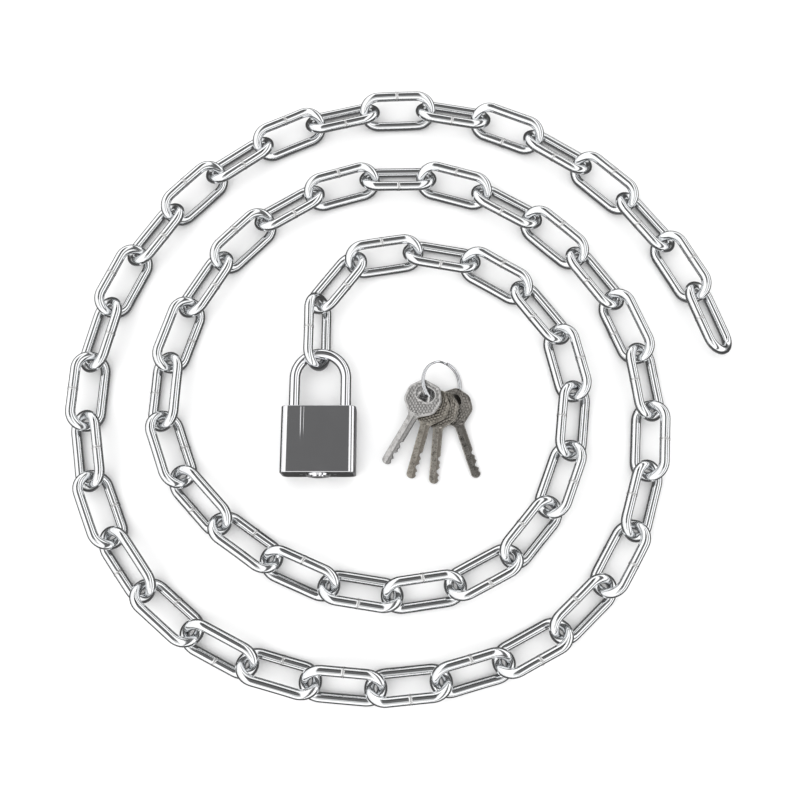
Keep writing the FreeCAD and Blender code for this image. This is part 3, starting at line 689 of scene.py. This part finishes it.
def key_place(node):
    """A CAD key's bow end, and its along, across and upward directions."""
    mesh = frame["nodes"][node].data
    normals = np.array([p.normal[:] for p in mesh.polygons])
    areas = np.array([p.area for p in mesh.polygons])
    middles = np.array([p.center[:] for p in mesh.polygons])
    upward = strongest(normals, areas)
    upward = upward if upward[2] > 0 else -upward
    edgewise = np.abs(normals @ upward) < 0.05
    across = strongest(normals[edgewise], areas[edgewise])
    along = np.cross(across, upward)
    points = np.array([v.co[:] for v in mesh.vertices])
    reach = points @ along
    if (middles @ along * areas).sum() / areas.sum() > (reach.max() + reach.min()) / 2:
        along = -along
        reach = -reach
    across = np.cross(upward, along)
    rise = points @ upward
    blade = reach > reach.max() - KEY_BLADE_ONLY * MM
    side = points[blade] @ across
    low_edge = side.min() + KEY_BLADE_HALF * MM
    return (along * reach.min() + across * low_edge + upward * (rise.max() + rise.min()) / 2,
            np.column_stack([along, across, upward]))


def build_keys():
    """Four keys alike, each on its CAD key's own place and with its own wear."""
    verts, faces, hollow = key_shape()
    for node, (colour, grime) in KEY_LOOKS.items():
        start, turn = key_place(node)
        key = mesh_object(node + "_cut", verts * MM @ turn.T + start, faces,
                          key_metal(node + "_plate", colour, grime))
        point_values(key, "hollow", hollow)
        key.data.set_sharp_from_angle(angle=math.radians(40))
        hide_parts(node)
        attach(key, node + "_body")


build_keys()


# ----------------------------------------------------------------------- padlock

CASE_CORNER = 4.0 * MM
CASE_WALL = 1.2 * MM
CASE_EDGE = 0.45 * MM
CORNER_STEPS = 10
LEG_HOLE = 3.06 * MM
LEG_OUT = 14.0 * MM
# the two drawn lines on the case's front: distance from its middle, half width, depth
FACE_LINES = ((-9.4 * MM, 0.42 * MM, 0.075 * MM), (-7.7 * MM, 0.26 * MM, 0.04 * MM))
LINE_FADE = (-9.0 * MM, 8.0 * MM)


def case_section(half_wide, half_thick, inset, front_xs):
    """A rounded rectangle in X and Z round the case's middle, in one fixed count of points."""
    corner = CASE_CORNER - inset
    x, z = half_wide - inset, half_thick - inset
    points = []
    for cx, cz, start in ((1, 1, 0), (-1, 1, 90), (-1, -1, 180), (1, -1, 270)):
        for i in range(CORNER_STEPS + 1):
            angle = math.radians(start + 90 * i / CORNER_STEPS)
            points.append((cx * (x - corner) + corner * math.cos(angle),
                           cz * (z - corner) + corner * math.sin(angle)))
        if start == 0:
            points += [(front, z) for front in sorted(front_xs, reverse=True)]
    return np.array(points)


def ring_faces(first, second, count):
    """Quads between two closed rings of count points."""
    return [(first + i, first + (i + 1) % count, second + (i + 1) % count, second + i)
            for i in range(count)]


def cap(section, holes, base, hole_bases, flip):
    """Triangles that fill a section round its holes, on points that are there already."""
    points = [Vector(p) for p in section]
    numbers = [base + i for i in range(len(section))]
    edges = [(i, (i + 1) % len(section)) for i in range(len(section))]
    for hole, hole_base in zip(holes, hole_bases):
        first = len(points)
        points += [Vector(p) for p in hole]
        numbers += [hole_base + i for i in range(len(hole))]
        edges += [(first + i, first + (i + 1) % len(hole)) for i in range(len(hole))]
    _, _, faces, origin, _, _ = delaunay_2d_cdt(points, edges, [], 2, 1e-9)
    filled = []
    for face in faces:
        face = [numbers[origin[i][0]] for i in face]
        filled.append(tuple(reversed(face)) if flip else tuple(face))
    return filled


def build_case():
    """The case's drawn shell: open at the foot, two leg holes in its top, two drawn lines in front."""
    low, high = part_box("lock_case")
    half_wide, half_thick = (high.x - low.x) / 2, (high.z - low.z) / 2
    middle = (low.z + high.z) / 2
    front_xs = []
    for at, half, _ in FACE_LINES:
        front_xs += list(at + half * np.linspace(-1.2, 1.2, 9))
    verts, faces = [], []

    def ring(inset, y, lines=False):
        section = case_section(half_wide, half_thick, inset, front_xs)
        rise = section[:, 1].copy()
        if lines:
            fade = float(step_up(np.array([y]), *LINE_FADE)[0])
            front = section[:, 1] > half_thick - inset - 1e-9
            for at, half, deep in FACE_LINES:
                away = np.clip(np.abs(section[:, 0] - at) / half, 0, 1)
                rise -= np.where(front, deep * fade * (1 - away), 0)
        first = len(verts)
        verts.extend((x, y, middle + z) for x, z in zip(section[:, 0], rise))
        return first, len(section)

    stations = [(CASE_EDGE * (1 - math.sin(a)), low.y + CASE_EDGE * (1 - math.cos(a)))
                for a in np.radians((0, 22.5, 45, 67.5, 90))]
    stations += [(0, y) for y in np.linspace(low.y, high.y, 25)[1:-1]]
    stations += [(CASE_EDGE * (1 - math.cos(a)), high.y - CASE_EDGE * (1 - math.sin(a)))
                 for a in np.radians((0, 22.5, 45, 67.5, 90))]
    outer = [ring(inset, y, lines=inset == 0) for inset, y in stations]
    count = outer[0][1]
    for (a, _), (b, _) in zip(outer, outer[1:]):
        faces += ring_faces(b, a, count)
    inner = [ring(CASE_WALL, y) for y in (low.y, high.y - CASE_WALL)]
    faces += ring_faces(inner[0][0], inner[1][0], count)
    faces += ring_faces(outer[0][0], inner[0][0], count)
    # leg holes through the top, with a small rounded mouth
    turns = np.linspace(0, 2 * math.pi, 41)[:-1]
    mouths = []
    for x in (-LEG_OUT, LEG_OUT):
        levels = []
        for radius, y in ((LEG_HOLE + 0.3 * MM, high.y), (LEG_HOLE + 0.09 * MM, high.y - 0.09 * MM),
                          (LEG_HOLE, high.y - 0.3 * MM), (LEG_HOLE, high.y - CASE_WALL)):
            levels.append(len(verts))
            verts.extend((x + radius * math.cos(t), y, middle + radius * math.sin(t)) for t in turns)
        for a, b in zip(levels, levels[1:]):
            faces += ring_faces(a, b, len(turns))
        mouths.append((x, levels))
    for section_start, level, flip in ((outer[-1][0], 0, True), (inner[1][0], -1, False)):
        section = [(verts[section_start + i][0], verts[section_start + i][2] - middle)
                   for i in range(count)]
        holes, bases = [], []
        for x, levels in mouths:
            base = levels[level]
            holes.append([(verts[base + i][0], verts[base + i][2] - middle) for i in range(len(turns))])
            bases.append(base)
        faces += cap(section, holes, section_start, bases, flip)
    case = mesh_object("drawn_case", verts, faces, CASE)
    bm = bmesh.new()
    bm.from_mesh(case.data)
    bmesh.ops.recalc_face_normals(bm, faces=bm.faces)
    bm.to_mesh(case.data)
    bm.free()
    case.data.set_sharp_from_angle(angle=math.radians(35))
    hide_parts("lock_case")
    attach(case, "lock_body")


build_case()


# ------------------------------------------------------------- camera and lights

VIEW_ELEVATION = math.radians(76)
VIEW_DISTANCE = 0.4648
VIEW_LENS = 38.5
TARGET_AHEAD = Vector((0.0436, 0.0227, 0.010))


def build_camera():
    """Looks down from the keyway's side."""
    data = bpy.data.cameras.new("view")
    data.lens = VIEW_LENS
    data.sensor_width = 36
    data.clip_start = 0.01
    camera = bpy.data.objects.new("view", data)
    bpy.context.scene.collection.objects.link(camera)
    back = Vector((0, -math.cos(VIEW_ELEVATION), math.sin(VIEW_ELEVATION)))
    camera.location = TARGET_AHEAD + back * VIEW_DISTANCE
    camera.rotation_euler = (-back).to_track_quat("-Z", "Y").to_euler()
    bpy.context.scene.camera = camera


FLOOR_HALF = 4.0
DOME_RADIUS = 5.0
DOME_AROUND = 64
DOME_UP = 48
DOME_GLOW = 1.6
SKY_GLOW = 1.25
LAMP_SIDE = 1.2
LAMP_WATTS = 6.0
LAMP_PLACE = Vector((-0.7, -0.5, 1.3))
LAMP_AIM = Vector((0.04, 0.02, 0))


def build_floor():
    """Pale paper, which the bright metal doesn't mirror."""
    low = cad_box[0][2]
    n = Nodes("floor_paper")
    n.set(Base_Color=n.mix(n.noise(6.0), (0.90, 0.90, 0.90, 1), (0.92, 0.92, 0.92, 1)), Roughness=0.8)
    corners = [(-FLOOR_HALF, -FLOOR_HALF, low), (FLOOR_HALF, -FLOOR_HALF, low),
               (FLOOR_HALF, FLOOR_HALF, low), (-FLOOR_HALF, FLOOR_HALF, low)]
    floor = mesh_object("floor", corners, [(0, 1, 2, 3)], n.material, smooth=False)
    floor.visible_glossy = False


def build_dome():
    """What the bright metal mirrors: a white tent with a grey and black cloth in it, on dark ground."""
    verts, faces = [], []
    for i in range(DOME_UP + 1):
        tilt = math.pi * (i / DOME_UP - 0.5)
        for k in range(DOME_AROUND):
            turn = 2 * math.pi * k / DOME_AROUND
            verts.append((DOME_RADIUS * math.cos(tilt) * math.cos(turn),
                          DOME_RADIUS * math.cos(tilt) * math.sin(turn),
                          DOME_RADIUS * math.sin(tilt)))
    for i in range(DOME_UP):
        low, high = i * DOME_AROUND, (i + 1) * DOME_AROUND
        for k in range(DOME_AROUND):
            m = (k + 1) % DOME_AROUND
            faces.append((low + k, high + k, high + m, low + m))
    n = Nodes("tent_cloth")
    n.tree.nodes.remove(n.shader)
    spot = n.add("SeparateXYZ", {"Vector": n.where((1 / DOME_RADIUS,) * 3)})
    up_way = spot.outputs["Z"]
    # 0 to 1 from the left foot of the tent over its top to the right, and from its front to its back
    across = n.math("ADD", n.math("MULTIPLY", n.math("ARCTAN2", spot.outputs["X"], up_way), 1 / math.pi), 0.5)
    ahead = n.math("ADD", n.math("MULTIPLY", n.math("ARCTAN2", spot.outputs["Y"], up_way), 1 / math.pi), 0.5)
    band = n.ramp(ahead, (0.0, 0.9), (0.21, 0.9), (0.25, 0.5), (0.38, 0.5), (0.41, 0.10), (0.655, 0.10),
                  (0.68, 0.01), (0.75, 0.01), (0.78, 0.3), (0.83, 0.3), (0.86, 0.9), (0.94, 0.9), (1.0, 0.5))
    walls = n.ramp(across, (0.0, 0.75), (0.16, 0.75), (0.2, 1.0), (0.56, 0.85), (0.72, 0.85),
                   (0.74, 0.09), (0.82, 0.09), (0.84, 0.9), (1.0, 0.9))
    cloth = n.ramp(across, (0.37, 0.0), (0.40, 1.0), (0.57, 1.0), (0.59, 0.0))
    above = n.mix(cloth, walls, band)
    height = n.math("ADD", n.math("MULTIPLY", up_way, 0.5), 0.5)
    ground = n.ramp(height, (0.0, 0.14), (0.25, 0.04), (0.42, 0.05), (0.5, 0.45))
    level = n.mix(n.ramp(height, (0.49, 0.0), (0.5, 1.0)), ground, above)
    out = n.tree.nodes["Material Output"]
    glow = n.add("Emission", {"Color": level, "Strength": DOME_GLOW})
    n.tree.links.new(glow.outputs[0], out.inputs["Surface"])
    dome = mesh_object("tent", verts, faces, n.material)
    dome.visible_camera = False
    dome.visible_diffuse = False
    dome.visible_shadow = False


def build_lights():
    """Even white light all round, and a soft lamp for a faint shadow."""
    world = bpy.data.worlds.new("studio")
    world.use_nodes = True
    back = world.node_tree.nodes["Background"]
    back.inputs["Color"].default_value = (1, 1, 1, 1)
    back.inputs["Strength"].default_value = SKY_GLOW
    bpy.context.scene.world = world
    data = bpy.data.lights.new("soft_box", "AREA")
    data.shape = "RECTANGLE"
    data.size = LAMP_SIDE
    data.size_y = LAMP_SIDE
    data.energy = LAMP_WATTS
    lamp = bpy.data.objects.new("soft_box", data)
    bpy.context.scene.collection.objects.link(lamp)
    lamp.location = LAMP_PLACE
    lamp.rotation_euler = (LAMP_AIM - LAMP_PLACE).to_track_quat("-Z", "Y").to_euler()
    lamp.visible_glossy = False


build_camera()
build_floor()
build_dome()
build_lights()
bpy.context.scene.view_settings.view_transform = "Standard"
